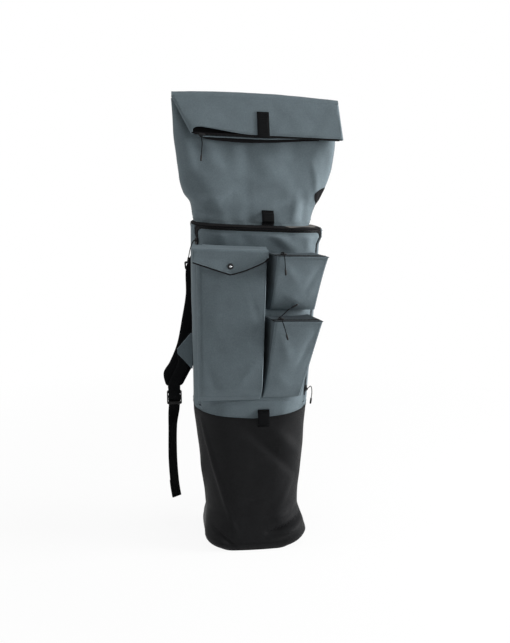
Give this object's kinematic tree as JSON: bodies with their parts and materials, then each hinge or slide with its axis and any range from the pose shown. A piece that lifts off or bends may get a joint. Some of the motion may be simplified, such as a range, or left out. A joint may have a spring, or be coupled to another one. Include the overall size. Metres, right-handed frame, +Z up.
{
  "type": "tackle backpack",
  "caption": "Tall roll-top tackle backpack with a black base, a front panel that opens on a zip, a snap flap pocket, bellows zip pockets and padded shoulder straps.",
  "frame": {"origin": "on the floor, under the middle of the main zip, on the flat sole", "axes": "+Z up, -Y to the front with the pockets, +X to the right as seen from the front"},
  "size_m": [0.3779, 0.283, 0.979],
  "materials": {
    "grey_cloth": "coated woven cloth",
    "black_cloth": "coated black cloth",
    "webbing": "ribbed webbing",
    "foam_mesh": "padded mesh",
    "zip_tape": "woven zip tape with coil teeth",
    "cord": "braided cord",
    "moulded": "moulded",
    "snap": "dark snap",
    "zip_metal": "black slider",
    "sole_rubber": "moulded sole",
    "board": "stiff board"
  },
  "bodies": {
    "bag": {"base_sole": "sole_rubber", "base_board": "board", "base_bucket": "black_cloth", "apron": "grey_cloth", "side_panel_left": "grey_cloth", "side_panel_right": "grey_cloth", "back_panel": "grey_cloth", "back_pad": "foam_mesh", "rim_yoke": "black_cloth", "collar_front": "grey_cloth", "collar_back": "grey_cloth", "fold_ridge": "grey_cloth", "main_zip_bag_side": "zip_tape", "rim_keeper": "webbing", "base_keeper": "webbing", "strap_yoke": "webbing", "shoulder_pad_left": "foam_mesh", "shoulder_pad_right": "foam_mesh", "strap_wing_left": "grey_cloth", "strap_wing_right": "grey_cloth", "pad_loop_left": "webbing", "pad_loop_right": "webbing", "lower_webbing_left": "webbing", "lower_webbing_right": "webbing", "ladder_lock_left": "moulded", "ladder_lock_right": "moulded", "strap_clips": "moulded"},
    "front_panel": {"front_panel": "grey_cloth", "main_zip_panel_side": "zip_tape", "flap_pocket": "grey_cloth", "pocket_hood": "grey_cloth", "snap_stud": "snap", "upper_pocket": "grey_cloth", "upper_pocket_zip": "zip_tape", "lower_pocket": "grey_cloth", "lower_pocket_zip": "zip_tape"},
    "pocket_flap": {"pocket_flap": "grey_cloth", "snap_cap": "snap"},
    "roll_flap": {"roll_flap": "grey_cloth", "roll_zip": "zip_tape", "roll_strap": "webbing"},
    "roll_slider": {"roll_slider": "zip_metal", "roll_cord": "cord", "roll_tip": "moulded"},
    "left_slider": {"left_slider": "zip_metal", "left_cord": "cord", "left_tip": "moulded"},
    "right_slider": {"right_slider": "zip_metal", "right_cord": "cord", "right_tip": "moulded"},
    "upper_slider": {"upper_slider": "zip_metal", "upper_cord": "cord", "upper_tip": "moulded"},
    "lower_slider": {"lower_slider": "zip_metal", "lower_cord_one": "cord", "lower_tip_one": "moulded", "lower_cord_two": "cord", "lower_tip_two": "moulded"},
    "haul_loop": {"haul_loop": "webbing"}
  },
  "joints": [
    {"name": "front_panel_fold", "type": "hinge", "parent": "bag", "child": "front_panel", "pos_m": [-0.01293, -0.05086, 0.307], "axis": [1, 0, 0], "range_deg": [0, 90]},
    {"name": "pocket_flap_lift", "type": "hinge", "parent": "front_panel", "child": "pocket_flap", "pos_m": [-0.06331, -0.08615, 0.67061], "axis": [-0.9991, 0, 0.0419], "range_deg": [0, 85]},
    {"name": "roll_flap_unfold", "type": "hinge", "parent": "bag", "child": "roll_flap", "pos_m": [0, -0.0065, 0.959], "axis": [-0.999, 0, 0.0454], "range_deg": [0, 163], "deforming": ["fold_ridge"]},
    {"name": "roll_zip_slide", "type": "slide", "parent": "roll_flap", "child": "roll_slider", "axis": [0.999, 0, -0.0454], "range_m": [0, 0.27]},
    {"name": "left_zip_slide", "type": "slide", "parent": "front_panel", "child": "left_slider", "axis": [0.0025, -0.0051, -1], "range_m": [0, 0.315]},
    {"name": "right_zip_slide", "type": "slide", "parent": "front_panel", "child": "right_slider", "axis": [0.0696, 0.0052, 0.9976], "range_m": [0, 0.305]},
    {"name": "upper_zip_slide", "type": "slide", "parent": "front_panel", "child": "upper_slider", "axis": [0.9992, 0, -0.0405], "range_m": [0, 0.075]},
    {"name": "lower_zip_slide", "type": "slide", "parent": "front_panel", "child": "lower_slider", "axis": [0.9997, 0, -0.0253], "range_m": [0, 0.068]},
    {"name": "haul_loop_swing", "type": "hinge", "parent": "bag", "child": "haul_loop", "pos_m": [0, 0.09, 0.684], "axis": [1, 0, 0], "range_deg": [0, 150]}
  ]
}
